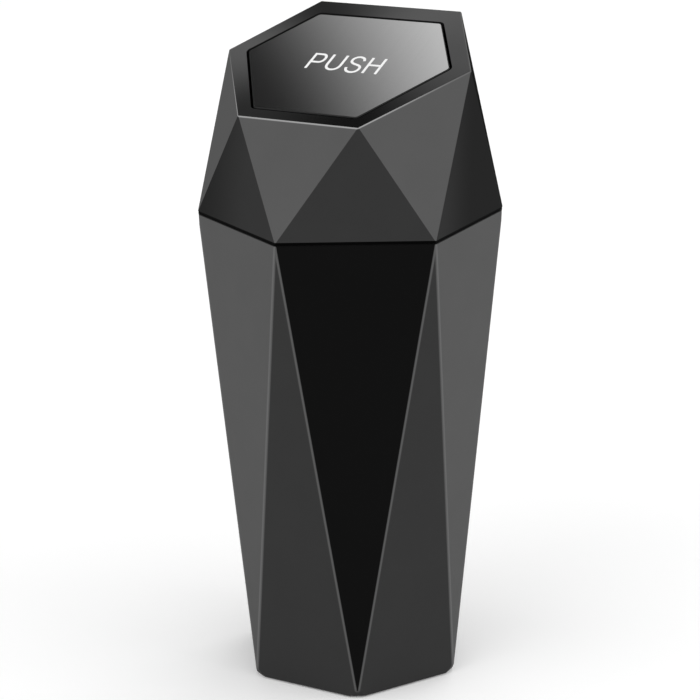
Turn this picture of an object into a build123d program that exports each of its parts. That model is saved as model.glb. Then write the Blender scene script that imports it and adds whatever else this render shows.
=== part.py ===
from build123d import *
from math import cos, radians, sin, tan
import os

# A push-lid litter bin for a car's cup holder: a faceted body, and a head that lifts off it.
# Sizes in millimetres and degrees. The origin is under the middle of the foot, +Z is up,
# and the low side of the slanted rim faces -Y.

# Body
foot_corner_r = 31.2
foot_corner_cut = 1.2
foot_corner_rise = 2.2
seam_height = 127.6
seam_corner_r = 40.5
shell_wall = 2.0
floor_wall = 2.0
land_depth = 6.0
seam_gap = 0.8
body_edge_r = 1.6
head_edge_r = 0.4
edge_room = 5.0

# Foot pad
pad_inset = 1.8
pad_thickness = 2.0
pad_proud = 0.5
pad_corner_r = 1.2
pad_treads = 4
pad_tread_pitch = 4.5
pad_groove = 1.0
pad_groove_depth = 0.7

# Slanted rim, its corners given in plan
rim_height = 41.1
rim_slope = 23.0
rim_thickness = 2.4
rim_front = (17.25, -28.15)
rim_side = (35.5, -1.5)
rim_rear = (20.9, 23.25)

# Lid outline, its corners given in plan
lid_front = (14.86, -24.5)
lid_side = (29.55, -1.5)
lid_rear = (18.1, 17.15)
lid_corner_r = 1.4
lid_gap = 0.65
plate_thickness = 0.8
plate_edge = 0.25
tray_depth = 4.5
tray_skin = 1.7
tray_wall = 1.5
tray_rib = 1.2
tray_cross_ribs = 3
rib_lift = 0.3

# Hinge along the lid's rear edge
hinge_inset = 2.6
hinge_drop = 5.4
pin_r = 1.25
pin_head_r = 2.1
pin_head_length = 0.8
pin_tail = 1.0
knuckle_r = 2.5
knuckle_inner_x = 4.2
knuckle_length = 4.0
knuckle_web = 1.25
hinge_room = 1.0
knuckle_to_spring = 0.25
spring_wire_r = 0.3
spring_coil_r = 2.3
spring_turns = 5.25
spring_pitch = 0.7
spring_lid_leg = 9.0
spring_fixed_leg = 4.6
ear_length = 2.2
ear_r = 2.7
running_clearance = 0.05
seat_clearance = 0.02
side_clearance = 0.2

# Bracket that carries the hinge pin
bracket_boss_x = 4.6
bracket_boss_r = 1.7
bracket_boss_length = 4.2
bracket_plate = 1.6
bracket_lip = 5.2
bracket_wall = 1.8
bracket_screw_r = 0.8
bracket_screw_shank = 5.0
bracket_screw_head_r = 1.5
bracket_screw_head_height = 1.1

# Retaining clip on the pin
clip_thickness = 0.5
clip_r = 2.3
clip_groove_r = 0.95
clip_mouth = 1.4

# Rubber stops under the front of the rim
stop_x = 8.0
stop_width = 6.0
stop_depth = 1.5
stop_thickness = 0.8
stop_gap = 0.1
tab_reach = 2.3
tab_thickness = 1.2
tab_width = 5.0

# Collar that plugs the head into the body
collar_lip_inset = 0.12
collar_lip_corner_r = 0.5
collar_plate = 1.6
collar_plate_gap = 0.8
collar_throat_margin = 3.0
collar_skirt = 9.0
collar_skirt_wall = 1.6
collar_corner_r = 3.0
seal_height = 2.2
seal_drop = 2.0
seal_proud = 1.0
seal_groove = 0.6
seal_clearance = 0.1

# Collar screws and their bosses
screw_head_room = 0.67
boss_r = 2.4
boss_height = 16.0
boss_web = 1.2
boss_web_height = 22.0
screw_shank_r = 1.1
screw_shank = 7.0
screw_head_r = 2.0
screw_head = 1.3
screw_tip_room = 1.0

# Cross slot of every screw, as shares of its head
slot_length_share = 1.3
slot_width_share = 0.25
slot_depth_share = 0.5

# Derived places
sides = 6
half_turn = 180 / sides
flat_share = cos(radians(half_turn))
clear_of_all = 400.0
upwards = (Align.CENTER, Align.CENTER, Align.MIN)
land_flat_r = seam_corner_r * flat_share - shell_wall
skirt_flat_r = land_flat_r - seal_clearance - seal_proud
skirt_inner_flat_r = skirt_flat_r - collar_skirt_wall
boss_circle_r = skirt_inner_flat_r / flat_share - screw_head_r - screw_head_room
collar_throat_r = boss_circle_r - collar_throat_margin
slope = radians(rim_slope)
rim_middle = (0, 0, seam_height + rim_height)
rim_plane = Plane(origin=rim_middle, x_dir=(1, 0, 0), z_dir=(0, -sin(slope), cos(slope)))
body_top = seam_height - seam_gap / 2
head_bottom = seam_height + seam_gap / 2


def ring(corner_r, z, first_angle):
    """Six corners of a level hexagon."""
    angles = [radians(first_angle + 360 / sides * i) for i in range(sides)]
    return [Vector(corner_r * cos(a), corner_r * sin(a), z) for a in angles]


def mirrored_hexagon(front, side, rear):
    """Six corners, anticlockwise from the right rear one, of a hexagon alike on both sides of Y."""
    left = [(-x, y) for x, y in (rear, side, front)]
    return [rear] + left + [front, side]


def on_rim_plane(points):
    """Points given in plan, as points of the slanted plane seen square on."""
    return [(x, y / cos(slope)) for x, y in points]


def slab(low, high):
    """Everything between two levels."""
    return Pos(0, 0, (low + high) / 2) * Box(clear_of_all, clear_of_all, high - low)


def faceted(lower, upper, inset=0):
    """All the room within the triangles between two rings, or this far inside them, open at both ends."""
    room = slab(seam_height - clear_of_all, seam_height + clear_of_all)
    for i in range(sides):
        after = (i + 1) % sides
        standing = (lower[i], lower[after], upper[i])
        hanging = (upper[i], lower[after], upper[after])
        for a, b, c in (standing, hanging):
            facet = Plane(origin=a, z_dir=(b - a).cross(c - a))
            room = split(room, bisect_by=facet.offset(-inset), keep=Keep.BOTTOM)
    return room


def hexagon(flat_r, low, high, corner_r=0):
    """An upright hexagonal prism with its corners over those of the seam."""
    outline = RegularPolygon(flat_r, sides, major_radius=False, rotation=half_turn)
    if corner_r > 0:
        outline = fillet(outline.vertices(), corner_r)
    return Pos(0, 0, low) * extrude(outline, high - low)


def rod(radius, start_x, end_x, y, z):
    """A round bar along X."""
    length = end_x - start_x
    return Pos((start_x + end_x) / 2, y, z) * Rot(0, 90, 0) * Cylinder(radius, length)


def block(x, y, z):
    """A box from its low and high limits along each axis."""
    centre = [(low + high) / 2 for low, high in (x, y, z)]
    size = [high - low for low, high in (x, y, z)]
    return Pos(*centre) * Box(*size)


def at_corners(part, radius):
    """A copy of a part at each seam corner, turned to face outwards."""
    places = [Rot(0, 0, half_turn + 360 / sides * i) * Pos(radius, 0, 0) for i in range(sides)]
    return [place * part for place in places]


def tapping_screw(shank_r, shank, head_r, head):
    """A pan-head screw that points up, with its head below z = 0 and a cross slot in the head."""
    pan = Pos(0, 0, -head / 2) * Cylinder(head_r, head)
    pan = fillet(pan.edges().sort_by(Axis.Z)[0], head / 2)
    body = Pos(0, 0, (shank - shank_r) / 2) * Cylinder(shank_r, shank - shank_r)
    body += Pos(0, 0, shank - shank_r / 2) * Cone(shank_r, shank_r / 3, shank_r)
    slot = Box(slot_length_share * head_r, slot_width_share * head_r, 2 * slot_depth_share * head)
    slot = Pos(0, 0, -head) * slot
    return pan + body - slot - Rot(0, 0, 90) * slot


foot_ring = ring(foot_corner_r, pad_proud, 0)
seam_ring = ring(seam_corner_r, seam_height, half_turn)
rim_corners = mirrored_hexagon(rim_front, rim_side, rim_rear)
rim_ring = [Vector(x, y, seam_height + rim_height + tan(slope) * y) for x, y in rim_corners]
lid_corners = on_rim_plane(mirrored_hexagon(lid_front, lid_side, lid_rear))
lid_outline = fillet(make_face(Polyline(*lid_corners, close=True)).vertices(), lid_corner_r)

# Places on the slanted plane: X across, Y up the slope, Z out of the rim
lid_rear_v = lid_corners[0][1]
lid_front_v = lid_corners[3][1]
hinge_v = lid_rear_v - hinge_inset
hinge_w = -hinge_drop
spring_inner_x = knuckle_inner_x + knuckle_length + knuckle_to_spring
spring_length = spring_turns * spring_pitch + 2 * spring_wire_r
ear_inner_x = spring_inner_x + spring_length + knuckle_to_spring
ear_outer_x = ear_inner_x + ear_length
bracket_front_v = hinge_v + spring_coil_r + spring_wire_r + side_clearance
bracket_boss_v = bracket_front_v + bracket_boss_r + side_clearance
bracket_top_w = -rim_thickness - bracket_boss_length
bracket_bottom_w = bracket_top_w - bracket_plate
tab_top_w = -rim_thickness - stop_thickness - stop_gap
skin_bottom_w = -plate_thickness - tray_skin


def body_shell():
    """The bin itself: one moulding, open at the top, with a recess for the pad under its foot."""
    core = faceted(foot_ring, seam_ring, body_edge_r) & slab(-edge_room, seam_height + edge_room)
    outer = offset(core, body_edge_r, kind=Kind.ARC) & slab(pad_proud, body_top)
    cavity = faceted(foot_ring, seam_ring, shell_wall) & slab(pad_thickness + floor_wall, seam_height)
    cavity += hexagon(land_flat_r, body_top - land_depth, seam_height)
    recess = Rot(0, 0, half_turn) * hexagon((foot_corner_r - pad_inset) * flat_share, 0, pad_thickness)
    cut_low_r = foot_corner_r - foot_corner_cut
    cut_high_r = cut_low_r + foot_corner_cut / foot_corner_rise * seam_height
    corner_cone = Pos(0, 0, pad_proud) * Cone(cut_low_r, cut_high_r, seam_height, align=upwards)
    return (outer & corner_cone) - cavity - recess


def foot_pad():
    """Rubber pad pressed into the recess; it stands proud of the foot and grips what it rests on."""
    flat_r = (foot_corner_r - pad_inset - side_clearance) * flat_share
    pad = hexagon(flat_r, 0, pad_thickness, pad_corner_r)
    for i in range(pad_treads):
        groove_r = flat_r - pad_tread_pitch * (i + 1)
        pad -= hexagon(groove_r, 0, pad_groove_depth) - hexagon(groove_r - pad_groove, 0, pad_groove_depth)
    return Rot(0, 0, half_turn) * pad


def head_inside(wall):
    """The room inside the head, below its rim, at this distance from its faceted walls."""
    below_rim = rim_plane.location * slab(-clear_of_all, -rim_thickness)
    return faceted(seam_ring, rim_ring, wall) & below_rim & slab(seam_height, seam_height + clear_of_all)


def head_shell():
    """The faceted cap with its slanted rim and lid opening, and the screw bosses inside it."""
    far_up = seam_height + clear_of_all
    core = faceted(seam_ring, rim_ring, head_edge_r) & slab(seam_height - edge_room, far_up)
    core &= rim_plane.location * slab(-clear_of_all, -head_edge_r)
    outer = offset(core, head_edge_r, kind=Kind.ARC) & slab(head_bottom, far_up)
    land_top = head_bottom + collar_plate + side_clearance
    shell = outer - head_inside(shell_wall) - hexagon(land_flat_r, seam_height, land_top)

    boss_low = head_bottom + collar_plate
    boss = Pos(0, 0, boss_low) * Cylinder(boss_r, boss_height, align=upwards)
    web_high = boss_low + boss_web_height
    boss += block((0, seam_corner_r - boss_circle_r), (-boss_web / 2, boss_web / 2), (boss_low, web_high))
    hole_depth = body_top + screw_shank + screw_tip_room - boss_low
    hole = Pos(0, 0, boss_low) * Cylinder(screw_shank_r + running_clearance, hole_depth, align=upwards)
    for part in at_corners(boss, boss_circle_r):
        shell += part & outer
    for part in at_corners(hole, boss_circle_r):
        shell -= part

    opening = offset(lid_outline, lid_gap, kind=Kind.ARC)
    opening = Pos(0, 0, -2 * rim_thickness) * extrude(opening, 3 * rim_thickness)
    shell -= rim_plane.location * opening
    for side in (-1, 1):
        place = Pos(side * bracket_boss_x, bracket_boss_v, bracket_top_w)
        boss = place * Cylinder(bracket_boss_r, bracket_boss_length + rim_thickness / 2, align=upwards)
        hole = place * Cylinder(bracket_screw_r + running_clearance, bracket_boss_length, align=upwards)
        shell += rim_plane.location * boss & outer
        shell -= rim_plane.location * hole
    return shell


def collar_ring():
    """Ring between head and body: a lip in the seam, a plate screwed to the head, a skirt that plugs in."""
    lip = hexagon(seam_corner_r * flat_share - collar_lip_inset, body_top, head_bottom, collar_lip_corner_r)
    plate = hexagon(land_flat_r - collar_plate_gap, body_top, head_bottom + collar_plate)
    skirt_low = body_top - collar_skirt
    skirt = hexagon(skirt_flat_r, skirt_low, body_top, collar_corner_r)
    hollow = hexagon(skirt_inner_flat_r, skirt_low, body_top, collar_corner_r / 2)
    groove_top = body_top - seal_drop
    groove = hexagon(land_flat_r, groove_top - seal_height, groove_top)
    core = hexagon(skirt_flat_r - seal_groove, groove_top - seal_height, groove_top, collar_corner_r)
    ring_part = lip + plate + (skirt - hollow - (groove - core))
    ring_part -= Pos(0, 0, seam_height) * Cylinder(collar_throat_r, clear_of_all)
    hole = Pos(0, 0, seam_height) * Cylinder(screw_shank_r + running_clearance, clear_of_all)
    for part in at_corners(hole, boss_circle_r):
        ring_part -= part
    return ring_part


def collar_seal():
    """Silicone ring in the skirt's groove, which wipes the inside of the body."""
    top = body_top - seal_drop
    outer_r = land_flat_r - seal_clearance
    inner_r = outer_r - seal_proud - seal_groove + seat_clearance
    low = top - seal_height + seat_clearance
    high = top - seat_clearance
    return hexagon(outer_r, low, high, collar_corner_r) - hexagon(inner_r, low, high, collar_corner_r)


def hinge_bracket():
    """Moulded bracket under the rear of the rim, with a bored ear at each end for the pin."""
    half = ear_outer_x
    past_wall_v = bracket_front_v + clear_of_all / 2
    part = block((-half, half), (bracket_front_v, past_wall_v), (bracket_bottom_w, bracket_top_w))
    lip_rear = bracket_front_v + bracket_wall
    lip_low = bracket_bottom_w - bracket_lip
    for side in (-1, 1):
        lip = sorted((side * (spring_inner_x - spring_wire_r), side * half))
        part += block(lip, (bracket_front_v, lip_rear), (lip_low, bracket_top_w))
        span = sorted((side * ear_inner_x, side * ear_outer_x))
        ear = rod(ear_r, *span, hinge_v, hinge_w)
        ear += block(span, (hinge_v, lip_rear), (hinge_w - ear_r, bracket_top_w))
        part += ear
        place = Pos(side * bracket_boss_x, bracket_boss_v, bracket_bottom_w)
        part -= place * Cylinder(bracket_screw_r + running_clearance, clear_of_all)
    part -= rod(pin_r + seat_clearance, -2 * half, 2 * half, hinge_v, hinge_w)
    return (rim_plane.location * part) & head_inside(shell_wall + side_clearance)


def hinge_pin():
    """Steel pin with a head at one end and a groove for its clip at the other."""
    head_x = -ear_outer_x - seat_clearance
    groove_x = ear_outer_x + seat_clearance
    pin = rod(pin_r, head_x, groove_x + clip_thickness + pin_tail, hinge_v, hinge_w)
    pin += rod(pin_head_r, head_x - pin_head_length, head_x, hinge_v, hinge_w)
    groove = rod(pin_head_r, groove_x, groove_x + clip_thickness, hinge_v, hinge_w)
    pin -= groove - rod(clip_groove_r, groove_x, groove_x + clip_thickness, hinge_v, hinge_w)
    return rim_plane.location * pin


def pin_clip():
    """Spring-steel E-clip snapped into the pin's groove."""
    low = ear_outer_x + 2 * seat_clearance
    high = ear_outer_x + clip_thickness
    clip = rod(clip_r, low, high, hinge_v, hinge_w)
    clip -= rod(clip_groove_r + seat_clearance, low, high, hinge_v, hinge_w)
    mouth = (hinge_v - clip_mouth / 2, hinge_v + clip_mouth / 2)
    clip -= block((low, high), mouth, (hinge_w - clip_r, hinge_w))
    return rim_plane.location * clip


def return_spring():
    """Right-hand torsion spring: one leg down the bracket's lip, the other forward under the lid."""
    start_x = spring_inner_x + spring_wire_r
    end_x = start_x + spring_turns * spring_pitch
    axis_start = Plane(origin=(start_x, hinge_v, hinge_w), x_dir=(0, 1, 0), z_dir=(1, 0, 0))
    coil = axis_start.location * Helix(spring_pitch, end_x - start_x, spring_coil_r)
    fixed_leg = Line(coil @ 0 - (coil % 0) * spring_fixed_leg, coil @ 0)
    lid_leg = Line(coil @ 1, coil @ 1 + (coil % 1) * spring_lid_leg)
    path = Wire([fixed_leg.edge(), coil.edge(), lid_leg.edge()])
    section = Plane(origin=path @ 0, z_dir=path % 0) * Circle(spring_wire_r)
    return rim_plane.location * sweep(section, path)


def stop_pad(side):
    """Rubber stop stuck under the front of the rim, where the lid's tab comes to rest."""
    near_v = lid_front_v - lid_gap - side_clearance
    x = (side * stop_x - stop_width / 2, side * stop_x + stop_width / 2)
    pad = block(x, (near_v - stop_depth, near_v), (-rim_thickness - stop_thickness, -rim_thickness))
    return rim_plane.location * pad


def lid_tray():
    """Moulded tray of the lid: a skin with ribs under it, two knuckles behind and two tabs in front."""
    skin = Pos(0, 0, skin_bottom_w) * extrude(lid_outline, tray_skin)
    bottom_w = -tray_depth
    wall_outline = lid_outline - offset(lid_outline, -tray_wall, kind=Kind.INTERSECTION)
    wall = Pos(0, 0, bottom_w) * extrude(wall_outline, tray_depth - plate_thickness)
    all_x = (-lid_side[0], lid_side[0])
    hinge_room_v = hinge_v - ear_r - hinge_room
    wall -= block(all_x, (hinge_room_v, clear_of_all), (-clear_of_all, skin_bottom_w))
    tray = skin + wall

    rib_depth = (bottom_w + rib_lift, skin_bottom_w)
    rib_x = knuckle_inner_x + knuckle_length / 2
    ribs = []
    for x in (-rib_x, rib_x):
        ribs.append(block((x - tray_rib / 2, x + tray_rib / 2), (lid_front_v, hinge_v), rib_depth))
    rib_pitch = (hinge_room_v - lid_front_v) / (tray_cross_ribs + 1)
    for i in range(tray_cross_ribs):
        v = lid_front_v + rib_pitch * (i + 1)
        ribs.append(block(all_x, (v - tray_rib / 2, v + tray_rib / 2), rib_depth))
    inside = offset(lid_outline, -tray_wall / 2, kind=Kind.INTERSECTION)
    inside = Pos(0, 0, bottom_w) * extrude(inside, tray_depth)
    for rib in ribs:
        tray += rib & inside

    for side in (-1, 1):
        span = sorted((side * knuckle_inner_x, side * (knuckle_inner_x + knuckle_length)))
        tray += rod(knuckle_r, *span, hinge_v, hinge_w)
        tray += block(span, (hinge_v - knuckle_r, hinge_v + knuckle_web), (hinge_w, skin_bottom_w))
        x = (side * stop_x - tab_width / 2, side * stop_x + tab_width / 2)
        reach = (lid_front_v - tab_reach, lid_front_v + tray_wall / 2)
        tray += block(x, reach, (tab_top_w - tab_thickness, tab_top_w))
    tray -= rod(pin_r + running_clearance, *all_x, hinge_v, hinge_w)
    return rim_plane.location * tray


def lid_plate():
    """Polished metal face of the lid, bonded on the tray, with its top edge broken."""
    plate = Pos(0, 0, -plate_thickness) * extrude(lid_outline, plate_thickness)
    top_edges = plate.faces().sort_by(Axis.Z)[-1].edges()
    return rim_plane.location * chamfer(top_edges, plate_edge)


def write(node, part):
    export_step(part, "parts/" + node + ".step")


os.makedirs("parts", exist_ok=True)
write("body_shell", body_shell())
write("foot_pad", foot_pad())
write("head_shell", head_shell())
write("collar_ring", collar_ring())
write("collar_seal", collar_seal())
collar_screw = Pos(0, 0, body_top) * tapping_screw(screw_shank_r, screw_shank, screw_head_r, screw_head)
for number, screw in enumerate(at_corners(collar_screw, boss_circle_r), start=1):
    write("collar_screw_" + str(number), screw)
write("hinge_bracket", hinge_bracket())
write("hinge_pin", hinge_pin())
write("pin_clip", pin_clip())
bracket_screw_head = (bracket_screw_head_r, bracket_screw_head_height)
bracket_screw = tapping_screw(bracket_screw_r, bracket_screw_shank, *bracket_screw_head)
for side, name in ((-1, "left"), (1, "right")):
    place = Pos(side * bracket_boss_x, bracket_boss_v, bracket_bottom_w)
    write("bracket_screw_" + name, rim_plane.location * place * bracket_screw)
    write("stop_pad_" + name, stop_pad(side))
spring = return_spring()
write("return_spring_right", spring)
write("return_spring_left", mirror(spring, about=Plane.YZ))
write("lid_tray", lid_tray())
write("lid_plate", lid_plate())
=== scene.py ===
import bmesh
import bpy
from math import cos, pi, radians, sin
from mathutils import Matrix, Vector
from mathutils.geometry import interpolate_bezier


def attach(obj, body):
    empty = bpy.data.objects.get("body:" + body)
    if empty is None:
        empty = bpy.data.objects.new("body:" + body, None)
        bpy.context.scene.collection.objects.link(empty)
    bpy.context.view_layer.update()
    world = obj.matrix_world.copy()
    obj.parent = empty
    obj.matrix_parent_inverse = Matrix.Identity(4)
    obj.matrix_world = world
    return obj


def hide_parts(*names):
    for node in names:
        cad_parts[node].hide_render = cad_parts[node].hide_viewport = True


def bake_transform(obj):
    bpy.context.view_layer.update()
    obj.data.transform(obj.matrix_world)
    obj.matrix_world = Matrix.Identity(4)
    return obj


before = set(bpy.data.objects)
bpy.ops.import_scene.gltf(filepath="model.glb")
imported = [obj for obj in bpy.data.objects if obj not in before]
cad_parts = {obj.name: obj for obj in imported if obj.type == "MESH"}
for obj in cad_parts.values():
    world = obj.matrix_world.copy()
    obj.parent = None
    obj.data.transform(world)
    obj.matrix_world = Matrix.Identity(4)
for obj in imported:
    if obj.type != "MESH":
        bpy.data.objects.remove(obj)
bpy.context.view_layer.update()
mm = 0.001


# Floor: a sheet of pale card that runs far past the view. The camera and reflections see it nearly white,
# and it keeps the bin's soft shadow.
floor_half = 6.0
floor_shade = 0.60
floor_seen_shade = 0.93
floor_seen_glow = 0.14
card_roughness = 0.9
card_specular = 0.1
white = (1, 1, 1, 1)


def feed(tree, socket, value):
    """Sets an input to a value, or links it to another node's result."""
    if isinstance(value, bpy.types.NodeSocket):
        tree.links.new(value, socket)
    else:
        socket.default_value = value


def add_node(tree, kind, **inputs):
    """A new node with some of its inputs fed. An underscore stands for a space in an input's name."""
    node = tree.nodes.new(kind)
    for name, value in inputs.items():
        feed(tree, node.inputs[name.replace("_", " ")], value)
    return node


def maths(tree, operation, *values):
    """A Math or Vector Math result of sockets and numbers."""
    gives_number = operation in ("DOT_PRODUCT", "LENGTH")
    of_vectors = gives_number or operation == "CROSS_PRODUCT" or operation.startswith("VECTOR_")
    node = tree.nodes.new("ShaderNodeVectorMath" if of_vectors else "ShaderNodeMath")
    node.operation = operation.replace("VECTOR_", "")
    for socket, value in zip(node.inputs, values):
        feed(tree, socket, value)
    return node.outputs["Value"] if gives_number else node.outputs[0]


def ramp_between(tree, value, low, high, at_low=0, at_high=1):
    """A smooth step from one value to another."""
    step = add_node(tree, "ShaderNodeMapRange", Value=value, From_Min=low, From_Max=high,
                    To_Min=at_low, To_Max=at_high)
    step.interpolation_type = "SMOOTHSTEP"
    return step.outputs["Result"]


def new_material(name):
    material = bpy.data.materials.new(name)
    material.use_nodes = True
    return material, material.node_tree, material.node_tree.nodes["Principled BSDF"]


def new_piece(name, shape, material):
    mesh = bpy.data.meshes.new(name)
    shape.to_mesh(mesh)
    shape.free()
    mesh.materials.append(material)
    piece = bpy.data.objects.new(name, mesh)
    bpy.context.scene.collection.objects.link(piece)
    return piece


card, tree, shader = new_material("pale_card")
path = tree.nodes.new("ShaderNodeLightPath")
seen = maths(tree, "MAXIMUM", path.outputs["Is Camera Ray"], path.outputs["Is Glossy Ray"])
seen = maths(tree, "MAXIMUM", seen, path.outputs["Is Transmission Ray"])
feed(tree, shader.inputs["Base Color"], ramp_between(tree, seen, 0, 1, floor_shade, floor_seen_shade))
feed(tree, shader.inputs["Emission Strength"], ramp_between(tree, seen, 0, 1, 0, floor_seen_glow))
shader.inputs["Emission Color"].default_value = white
shader.inputs["Roughness"].default_value = card_roughness
shader.inputs["Specular IOR Level"].default_value = card_specular
sheet = bmesh.new()
bmesh.ops.create_grid(sheet, x_segments=1, y_segments=1, size=floor_half)
floor = new_piece("floor", sheet, card)


# Studio: an even white room, three square soft boxes around the bin, and one dark screen high up behind it
# to the left. The screen's soft edge gives the tilted metal lid its gradient.
room_light = 0.90
screen_light = 0.018
screen_turn = radians(158.8)
screen_rise = radians(44.7)
screen_core = radians(15.0)
screen_edge = radians(22.0)
box_side = 0.9
bin_middle = Vector((0, 0, 0.09))
world = bpy.data.worlds.new("studio")
world.use_nodes = True
bpy.context.scene.world = world
tree = world.node_tree
background = tree.nodes["Background"]
way = tree.nodes.new("ShaderNodeTexCoord").outputs["Generated"]
screen_way = (cos(screen_rise) * cos(screen_turn), cos(screen_rise) * sin(screen_turn), sin(screen_rise))
off_screen = maths(tree, "ARCCOSINE", maths(tree, "DOT_PRODUCT", way, screen_way))
light = ramp_between(tree, off_screen, screen_core, screen_edge, screen_light, room_light)
path = tree.nodes.new("ShaderNodeLightPath")
feed(tree, background.inputs["Strength"], maths(tree, "MAXIMUM", light, path.outputs["Is Camera Ray"]))
background.inputs["Color"].default_value = white


def soft_box(name, place, radiance):
    """A square area lamp of even brightness that faces the bin."""
    lamp = bpy.data.lights.new(name, "AREA")
    lamp.shape = "SQUARE"
    lamp.size = box_side
    lamp.energy = radiance * box_side * box_side * pi
    stand = bpy.data.objects.new(name, lamp)
    stand.location = place
    stand.rotation_mode = "QUATERNION"
    stand.rotation_quaternion = (bin_middle - Vector(place)).to_track_quat("-Z", "Y")
    bpy.context.scene.collection.objects.link(stand)


soft_box("front_box", place=(-0.35, -1.15, 1.25), radiance=1.4)
soft_box("right_box", place=(1.35, 0.10, 1.05), radiance=1.0)
soft_box("rear_box", place=(0.10, 1.35, 1.15), radiance=1.0)


# Camera: stands to the front right, a little above the rim, where the photo was seen from.
# Its place, tilt and lens come from a pinhole camera fitted to the corners of the bin.
camera_distance = 0.5908
camera_height = 0.2734
camera_turn = radians(28.06)
camera_tilt = radians(17.36)
camera_pan = 0.00066
camera_roll = 0.0062
camera_near = 0.01
film_width = 36
focal_pixels = 2291.3
photo_width = 700
camera = bpy.data.objects.new("camera", bpy.data.cameras.new("camera"))
camera.data.sensor_width = film_width
camera.data.lens = focal_pixels / photo_width * film_width
camera.data.clip_start = camera_near
across = camera_distance * sin(camera_turn)
forward = -camera_distance * cos(camera_turn)
place = Matrix.Translation((across, forward, camera_height))
turn = Matrix.Rotation(camera_turn + camera_pan, 4, "Z") @ Matrix.Rotation(pi / 2 - camera_tilt, 4, "X")
camera.matrix_world = place @ turn @ Matrix.Rotation(-camera_roll, 4, "Z")
bpy.context.scene.collection.objects.link(camera)
bpy.context.scene.camera = camera
bpy.context.scene.view_settings.view_transform = "Standard"


# Body: one moulding, open at the top. Its six tall facets that hang from the seam are matt black and satin
# grey in turn and the six that stand on the foot are dark: painted light and shade of the facets in one
# plastic.
# A pale painted highlight runs down each edge, and a thin black band of painted shade under the top edge
# widens the dark seam.
sides = 6
half_turn = pi / sides
foot_corner_r = 31.2 * mm
foot_height = 0.5 * mm
seam_corner_r = 40.5 * mm
seam_height = 127.6 * mm
facet_skin = 1.3 * mm
body_top = 127.2 * mm
# A black band of painted shade just under the body's top edge darkens the seam.
painted_seam_core = 0.12 * mm
painted_seam_edge = 0.30 * mm
painted_seam_shade = 0.0008
join_distance = 0.002 * mm
least_edge = 0.0005 * mm
sharp_angle = radians(32)
level_facing = 0.9
plastic_grain = 0.35
grain_scale = 2600
grain_detail = 2
grain_depth = 0.02 * mm
cloud_scale = 90
cloud_detail = 3
cloud_share = 0.06


def merged_copy(node):
    """A copy of a rigid piece with its corners joined and its curves smooth."""
    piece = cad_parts[node].copy()
    piece.data = piece.data.copy()
    piece.name = node + "_finished"
    piece.parent = None
    for key in list(piece.keys()):
        if key.startswith("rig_"):
            del piece[key]
    piece.data.materials.clear()
    shape = bmesh.new()
    shape.from_mesh(piece.data)
    bmesh.ops.remove_doubles(shape, verts=shape.verts, dist=join_distance)
    bmesh.ops.dissolve_degenerate(shape, edges=shape.edges, dist=least_edge)
    for face in shape.faces:
        face.smooth = True
        face.material_index = 0
    for edge in shape.edges:
        edge.smooth = len(edge.link_faces) == 2 and edge.calc_face_angle(pi) < sharp_angle
    shape.to_mesh(piece.data)
    shape.free()
    bpy.context.scene.collection.objects.link(piece)
    level = piece.modifiers.new("flat facets", "WEIGHTED_NORMAL")
    level.keep_sharp = True
    return piece


def finished(node, body, slot, *materials):
    """A merged copy that takes a node's place on its body."""
    piece = merged_copy(node)
    for material in materials:
        piece.data.materials.append(material)
    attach(piece, body)
    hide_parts(node)
    return piece


def level_ring(corner_r, z, first_angle):
    angles = [first_angle + 2 * half_turn * i for i in range(sides)]
    return [Vector((corner_r * cos(a), corner_r * sin(a), z)) for a in angles]


def facets(lower, upper):
    """Triangles between two rings, each as a corner and an outward normal: standing and hanging in turn."""
    found = []
    for i in range(sides):
        after = (i + 1) % sides
        standing = (lower[i], lower[after], upper[i])
        hanging = (upper[i], lower[after], upper[after])
        for a, b, c in (standing, hanging):
            found.append((a, (b - a).cross(c - a).normalized()))
    return found


def facet_under(point, planes):
    """The number of the facet that a point lies on, or None where it is further in."""
    heights = [(point - corner).dot(normal) for corner, normal in planes]
    highest = max(heights)
    return heights.index(highest) if highest > -facet_skin else None


def grey(level):
    return (level, level, level, 1)


def mix_colours(tree, share, first, second):
    """First colour where the share is 0, second where it is 1."""
    mix = tree.nodes.new("ShaderNodeMix")
    mix.data_type = "RGBA"
    feed(tree, mix.inputs["Factor"], share)
    feed(tree, mix.inputs["A"], first)
    feed(tree, mix.inputs["B"], second)
    return mix.outputs["Result"]


def place_on_piece(tree):
    return tree.nodes.new("ShaderNodeTexCoord").outputs["Object"]


def split_place(tree):
    """The three coordinates of the place on the piece."""
    return add_node(tree, "ShaderNodeSeparateXYZ", Vector=place_on_piece(tree)).outputs


def coloured(material, colour):
    """The material with its colour fed from nodes."""
    tree = material.node_tree
    feed(tree, tree.nodes["Principled BSDF"].inputs["Base Color"], colour)
    return material


def clouded(tree, shade):
    """A grey with a faint cloudiness."""
    cloud = add_node(tree, "ShaderNodeTexNoise", Vector=place_on_piece(tree), Scale=cloud_scale,
                     Detail=cloud_detail)
    low = grey(shade * (1 - cloud_share))
    high = grey(shade * (1 + cloud_share))
    return mix_colours(tree, cloud.outputs["Fac"], low, high)


def grained(name, roughness, specular, grain=plastic_grain):
    """Plastic or rubber of no colour yet, with the fine grain of a spark-eroded mould."""
    material, tree, shader = new_material(name)
    shader.inputs["Roughness"].default_value = roughness
    shader.inputs["Specular IOR Level"].default_value = specular
    fine = add_node(tree, "ShaderNodeTexNoise", Vector=place_on_piece(tree), Scale=grain_scale,
                    Detail=grain_detail)
    bump = add_node(tree, "ShaderNodeBump", Height=fine.outputs["Fac"], Strength=grain, Distance=grain_depth)
    feed(tree, shader.inputs["Normal"], bump.outputs["Normal"])
    return material


def moulded(name, shade, roughness, specular, grain=plastic_grain):
    """A moulded material of one shade."""
    material = grained(name, roughness, specular, grain)
    return coloured(material, clouded(material.node_tree, shade))


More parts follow.
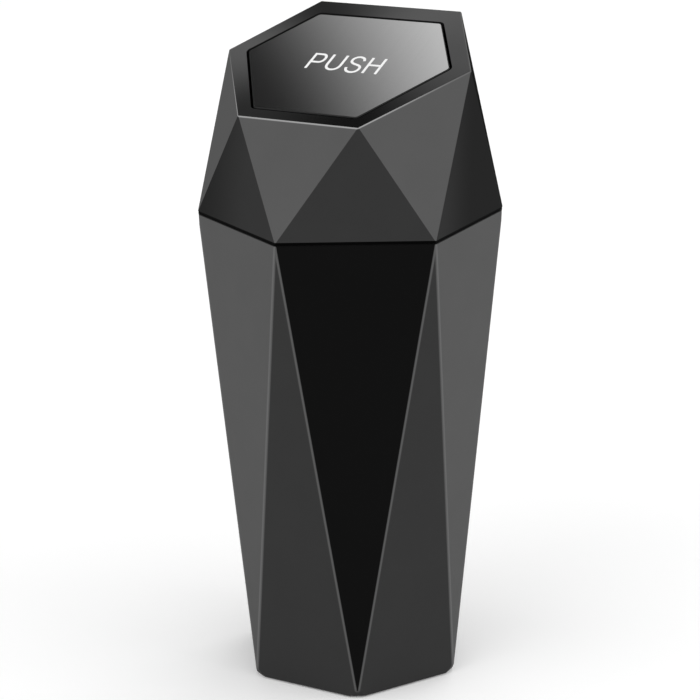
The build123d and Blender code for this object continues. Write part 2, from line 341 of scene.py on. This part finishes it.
def edge_distance(tree):
    """How far a point of the body is from the nearest slanted edge of its facets."""
    x, y, z = split_place(tree)
    angle = maths(tree, "ARCTAN2", y, x)
    folded = maths(tree, "PINGPONG", maths(tree, "SUBTRACT", angle, half_turn), half_turn)
    x_squared = maths(tree, "MULTIPLY", x, x)
    y_squared = maths(tree, "MULTIPLY", y, y)
    radius = maths(tree, "SQRT", maths(tree, "ADD", x_squared, y_squared))
    along = maths(tree, "MULTIPLY", radius, maths(tree, "COSINE", folded))
    aside = maths(tree, "MULTIPLY", radius, maths(tree, "SINE", folded))
    folded_place = add_node(tree, "ShaderNodeCombineXYZ", X=along, Y=aside, Z=z).outputs["Vector"]
    seam_corner = Vector((seam_corner_r, 0, seam_height))
    foot_corner = Vector((foot_corner_r * cos(half_turn), foot_corner_r * sin(half_turn), foot_height))
    edge_way = (foot_corner - seam_corner).normalized()
    away = maths(tree, "VECTOR_SUBTRACT", folded_place, seam_corner)
    return maths(tree, "LENGTH", maths(tree, "CROSS_PRODUCT", away, edge_way))


def body_facet(name, shade, painted_highlight_shade, painted_highlight_core, painted_highlight_edge, roughness, specular):
    """A facet's plastic with a painted highlight as a pale line along its slanted edges, and painted shade
    as a black band along its top.
    """
    material = grained(name, roughness, specular)
    tree = material.node_tree
    # The pale line along each slanted edge is a painted highlight.
    line = ramp_between(tree, edge_distance(tree), painted_highlight_core, painted_highlight_edge, 1, 0)
    highlighted = mix_colours(tree, line, clouded(tree, shade), grey(painted_highlight_shade))
    height = split_place(tree)["Z"]
    # Painted shade: a black band just under the top edge.
    band = ramp_between(tree, height, body_top - painted_seam_edge, body_top - painted_seam_core)
    return coloured(material, mix_colours(tree, band, highlighted, grey(painted_seam_shade)))


def body_face_material(face):
    """The material of a face of the body."""
    facet = facet_under(face.center, body_planes)
    if facet is None or abs(face.normal.z) > level_facing:
        return inner_plastic
    stands = facet % 2 == 0
    if stands:
        return dark_facet
    return black_facet if facet // 2 % 2 == 0 else grey_facet


# The three facet tones below are painted light and shade, laid on one plastic.
black_facet = body_facet("black_facet", shade=0.0028, painted_highlight_shade=0.098, painted_highlight_core=0.12 * mm,
                         painted_highlight_edge=0.30 * mm, roughness=0.55, specular=0.05)
grey_facet = body_facet("grey_facet", shade=0.098, painted_highlight_shade=0.155, painted_highlight_core=0.30 * mm,
                        painted_highlight_edge=0.85 * mm, roughness=0.58, specular=0.07)
dark_facet = body_facet("dark_facet", shade=0.040, painted_highlight_shade=0.120, painted_highlight_core=0.22 * mm,
                        painted_highlight_edge=0.62 * mm, roughness=0.58, specular=0.07)
inner_plastic = moulded("inner_plastic", shade=0.010, roughness=0.45, specular=0.35)
body_materials = [inner_plastic, black_facet, grey_facet, dark_facet]
body = finished("body_shell", "body", "shell_plastic", *body_materials)
foot_ring = level_ring(foot_corner_r, foot_height, 0)
seam_ring = level_ring(seam_corner_r, seam_height, half_turn)
body_planes = facets(foot_ring, seam_ring)
for face in body.data.polygons:
    face.material_index = body_materials.index(body_face_material(face))


# Foot pad: black rubber, moulded with ring grooves and pressed into the recess under the foot.
# It stands a little proud of the foot, so its lower edge shows as a thin dark line.
rubber = moulded("rubber", shade=0.012, roughness=0.80, specular=0.25, grain=0.8)
finished("foot_pad", "body", "rubber", rubber)


# Head: the second moulding. Its facets that hang from the rim are satin grey, but black on the two at the
# sides of the rear, and those that stand on the seam are dark: these tones are painted light and shade. The
# flat rim is glossy black with painted reflections in grey round it, and a pale painted highlight where it
# breaks over to the facets.
rim_height = 41.1 * mm
rim_slope = radians(23)
rim_plan = [(20.9, 23.25), (-20.9, 23.25), (-35.5, -1.5), (-17.25, -28.15), (17.25, -28.15), (35.5, -1.5)]
rim_middle = Vector((0, 0, seam_height + rim_height))
rim_up = Vector((0, cos(rim_slope), sin(rim_slope)))
rim_normal = Vector((0, -sin(rim_slope), cos(rim_slope)))
rim_skin = 0.4 * mm
# A pale painted highlight along the rim's outer edge, brightest towards the front.
rim_painted_highlight_core = 0.28 * mm
rim_painted_highlight_edge = 0.46 * mm
rim_facing = 0.7
facet_facing = 0.5
side_facing = 0.5
# Painted shade: the head facets grow darker away from the front, between these two reaches along this way.
painted_light_way = Vector((0.304, -0.953, 0))
painted_light_reach = 29.4 * mm
painted_shade_reach = 9.1 * mm
# Turn round the rim in degrees, from its left corner by the front and back, and the grey of the rim's
# painted reflections and of its painted highlight line
rim_painted_reflection_tones = [(-180, 0.092), (-120, 0.020), (-60, 0.001), (8, 0.062), (60, 0.082), (130, 0.012),
             (180, 0.092)]
rim_painted_highlight_tones = [(-180, 0.16), (-120, 0.38), (-60, 0.40), (0, 0.15), (15, 0.05), (165, 0.05),
                  (180, 0.16)]


def turn_tones(tree, tones):
    """A grey that changes with the turn round the rim's middle."""
    place = split_place(tree)
    up_slope = maths(tree, "DIVIDE", place["Y"], rim_up.y)
    angle = maths(tree, "ARCTAN2", up_slope, place["X"])
    turned = maths(tree, "ADD", maths(tree, "DIVIDE", angle, 2 * pi), 0.5)
    ramp = add_node(tree, "ShaderNodeValToRGB", Fac=turned)
    ramp.color_ramp.interpolation = "EASE"
    stops = ramp.color_ramp.elements
    while len(stops) < len(tones):
        stops.new(0.5)
    for stop, (degrees, level) in zip(stops, tones):
        stop.position = degrees / 360 + 0.5
        stop.color = grey(level)
    return ramp.outputs["Color"]


def head_facet(name, shade, painted_shade_tone):
    """A head facet's plastic, with painted shade that darkens it away from the front and a painted highlight
    as a pale line under the rim.
    """
    material = grained(name, roughness=0.60, specular=0.0)
    tree = material.node_tree
    place = place_on_piece(tree)
    fade = ramp_between(tree, maths(tree, "DOT_PRODUCT", place, painted_light_way), painted_shade_reach, painted_light_reach, 1, 0)
    shade_painted = mix_colours(tree, fade, clouded(tree, shade), grey(painted_shade_tone))
    under_rim = maths(tree, "VECTOR_SUBTRACT", place, rim_middle)
    depth = maths(tree, "DOT_PRODUCT", under_rim, -rim_normal)
    # The pale line under the rim is a painted highlight.
    line = ramp_between(tree, depth, rim_painted_highlight_core, rim_painted_highlight_edge, 1, 0)
    return coloured(material, mix_colours(tree, line, shade_painted, turn_tones(tree, rim_painted_highlight_tones)))


def rim_corner(x, y):
    """A corner of the slanted rim from its place in plan."""
    return Vector((x, y, rim_middle.z + y * rim_up.z / rim_up.y))


def head_face_material(face):
    """The material of a face of the head."""
    depth = (rim_middle - face.center).dot(rim_normal)
    if depth < rim_skin and face.normal.dot(rim_normal) > rim_facing:
        return rim_gloss
    facet = facet_under(face.center, head_planes)
    if facet is None:
        return inner_plastic
    outwards = head_planes[facet][1]
    if face.normal.dot(outwards) <= facet_facing:
        return inner_plastic
    stands = facet % 2 == 0
    if stands:
        return head_dark
    at_rear_side = abs(outwards.x) > side_facing and outwards.y > 0
    return head_black if at_rear_side else head_grey


# The head's facet tones below are painted light and shade on one plastic.
head_grey = head_facet("head_grey", shade=0.108, painted_shade_tone=0.110)
head_dark = head_facet("head_dark", shade=0.0423, painted_shade_tone=0.0243)
head_black = head_facet("head_black", shade=0.012, painted_shade_tone=0.012)
# The rim's greys are painted reflections round it, over its real gloss.
rim_gloss = grained("rim_gloss", roughness=0.20, specular=0.06, grain=0.15)
rim_gloss = coloured(rim_gloss, turn_tones(rim_gloss.node_tree, rim_painted_reflection_tones))
head_materials = [inner_plastic, head_grey, head_dark, rim_gloss, head_black]
head = finished("head_shell", "head", "shell_plastic", *head_materials)
head_planes = facets(seam_ring, [rim_corner(x * mm, y * mm) for x, y in rim_plan])
for face in head.data.polygons:
    face.material_index = head_materials.index(head_face_material(face))


# Collar: matt black ring between head and body. Its lip is the dark line of the seam, its skirt plugs into
# the body, and the silicone seal lies in the skirt's groove.
collar_black = moulded("collar_black", shade=0.0008, roughness=0.75, specular=0.03)
silicone = moulded("silicone", shade=0.060, roughness=0.55, specular=0.40, grain=0.1)
finished("collar_ring", "head", "inner_plastic", collar_black)
finished("collar_seal", "head", "rubber", silicone)


# Screws: six tapping screws hold the collar from below and two hold the hinge bracket.
# All are bright zinc-plated steel with a cross slot in a round head.
collar_screws = 6
streak_detail = 3


def metal(name, shade, roughness, stretch, streaks):
    """Bright metal with fine streaks: noise drawn out along the axes with the low numbers."""
    material, tree, shader = new_material(name)
    shader.inputs["Metallic"].default_value = 1
    mapping = add_node(tree, "ShaderNodeMapping", Vector=place_on_piece(tree), Scale=stretch)
    noise = add_node(tree, "ShaderNodeTexNoise", Vector=mapping.outputs["Vector"], Scale=1,
                     Detail=streak_detail)
    gloss = add_node(tree, "ShaderNodeMapRange", Value=noise.outputs["Fac"],
                     To_Min=roughness * (1 - streaks), To_Max=roughness * (1 + streaks))
    feed(tree, shader.inputs["Roughness"], gloss.outputs["Result"])
    low = grey(shade * (1 - streaks))
    high = grey(shade * (1 + streaks))
    return coloured(material, mix_colours(tree, noise.outputs["Fac"], low, high))


zinc = metal("zinc", shade=0.58, roughness=0.30, stretch=(900, 900, 900), streaks=0.15)
for number in range(1, collar_screws + 1):
    finished("collar_screw_%d" % number, "head", "steel", zinc)
for side in ("left", "right"):
    finished("bracket_screw_" + side, "head", "steel", zinc)


# Hinge: the black bracket under the rear of the rim, its steel pin with head and clip, and two torsion
# springs. The springs are smooth copies that stay where they stand, on no body.
drawn_steel = metal("drawn_steel", shade=0.55, roughness=0.22, stretch=(60, 1500, 1500), streaks=0.12)
finished("hinge_bracket", "head", "inner_plastic", inner_plastic)
finished("hinge_pin", "head", "steel", drawn_steel)
finished("pin_clip", "head", "steel", zinc)
for side, sign in (("left", -1), ("right", 1)):
    node = "return_spring_" + side
    spring = merged_copy(node)
    spring.data.materials.append(drawn_steel)
    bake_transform(spring)
    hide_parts(node)


# Stops: two rubber pads stuck under the front of the rim.
# The lid's tabs come to rest against them when the springs push it shut.
for side in ("left", "right"):
    finished("stop_pad_" + side, "head", "rubber", rubber)


# Lid tray: the black moulding under the metal face, in one with its ribs, its two knuckles and its two tabs.
# It hangs on the hinge pin by the knuckles.
finished("lid_tray", "lid", "inner_plastic", inner_plastic)


# Lid plate: polished gun-metal sheet bonded on the tray, with faint brushing up the slope.
# Its top edge is broken by a narrow cut, which is matt and darker.
cut_facing_low = 0.3
cut_facing_high = 0.95
gun_metal = metal("gun_metal", shade=0.735, roughness=0.08, stretch=(2200, 25, 25), streaks=0.03)
cut_edge = metal("cut_edge", shade=0.03, roughness=0.55, stretch=(900, 900, 900), streaks=0.08)
plate_finishes = [gun_metal, cut_edge]
plate = finished("lid_plate", "lid", "lid_metal", *plate_finishes)
for face in plate.data.polygons:
    if cut_facing_low < face.normal.dot(rim_normal) < cut_facing_high:
        face.material_index = plate_finishes.index(cut_edge)


# Lettering: the plain word for pushing, printed in white on the lid in thin upright capitals.
# Each stroke is a band of paint a few hundredths of a millimetre thick.
letter_stroke = 0.70 * mm
letter_low = -7.1 * mm
letter_high = 0.05 * mm
letter_thickness = 0.04 * mm
letter_sink = 0.01 * mm
letter_p_x = -9.60 * mm
letter_h_left = 7.08 * mm
letter_h_right = 10.73 * mm
letter_h_bar = -3.3 * mm
bezier_steps = 13


def on_lid(point, out):
    """A place on the lid from its distances across, up the slope and out of the face."""
    return rim_middle + Vector((point.x, 0, 0)) + rim_up * point.y + rim_normal * out


def stroke(shape, points):
    """A ribbon that stands on the lid along a line. It gets its width when all letters are drawn."""
    knots = [shape.verts.new(on_lid(Vector(point), -letter_sink)) for point in points]
    line = [shape.edges.new(ends) for ends in zip(knots, knots[1:])]
    grown = bmesh.ops.extrude_edge_only(shape, edges=line)["geom"]
    top = [part for part in grown if isinstance(part, bmesh.types.BMVert)]
    bmesh.ops.translate(shape, verts=top, vec=rim_normal * (letter_sink + letter_thickness))


def curve(*knots):
    """Points of a curve whose knots and handles are given in millimetres, two handles after each knot."""
    flat = [Vector((x * mm, y * mm, 0)) for x, y in knots]
    points = [flat[0]]
    for i in range(0, len(flat) - 1, 3):
        points += interpolate_bezier(*flat[i:i + 4], bezier_steps)[1:]
    return [point.xy for point in points]


letters = bmesh.new()
letter_p_side = letter_p_x + letter_stroke / 2
bowl = curve((-7.50, -0.27), (-5.65, -0.27), (-5.65, -3.95), (-7.50, -3.95))
stroke(letters, [(letter_p_x, letter_low), (letter_p_x, letter_high)])
stroke(letters, [(letter_p_side, bowl[0].y)] + bowl + [(letter_p_side, bowl[-1].y)])
cup = curve((-4.35, -4.6), (-4.35, -7.55), (-0.45, -7.55), (-0.45, -4.6))
stroke(letters, [(cup[0].x, letter_high)] + cup + [(cup[-1].x, letter_high)])
snake = curve((5.14, -1.75), (4.94, 0.45), (1.71, 0.45),
              (1.71, -1.8), (1.71, -4.1), (5.34, -3.0),
              (5.34, -5.30), (5.34, -7.85), (1.63, -7.85), (1.53, -5.2))
stroke(letters, snake)
for x in (letter_h_left, letter_h_right):
    stroke(letters, [(x, letter_low), (x, letter_high)])
bar_left = letter_h_left + letter_stroke / 2
bar_right = letter_h_right - letter_stroke / 2
stroke(letters, [(bar_left, letter_h_bar), (bar_right, letter_h_bar)])
bmesh.ops.recalc_face_normals(letters, faces=letters.faces)
white_paint = moulded("white_paint", shade=0.92, roughness=0.50, specular=0.30, grain=0.1)
lettering = new_piece("push_lettering", letters, white_paint)
paint = lettering.modifiers.new("stroke width", "SOLIDIFY")
paint.thickness = letter_stroke
paint.offset = 0
paint.use_even_offset = True
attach(lettering, "lid")
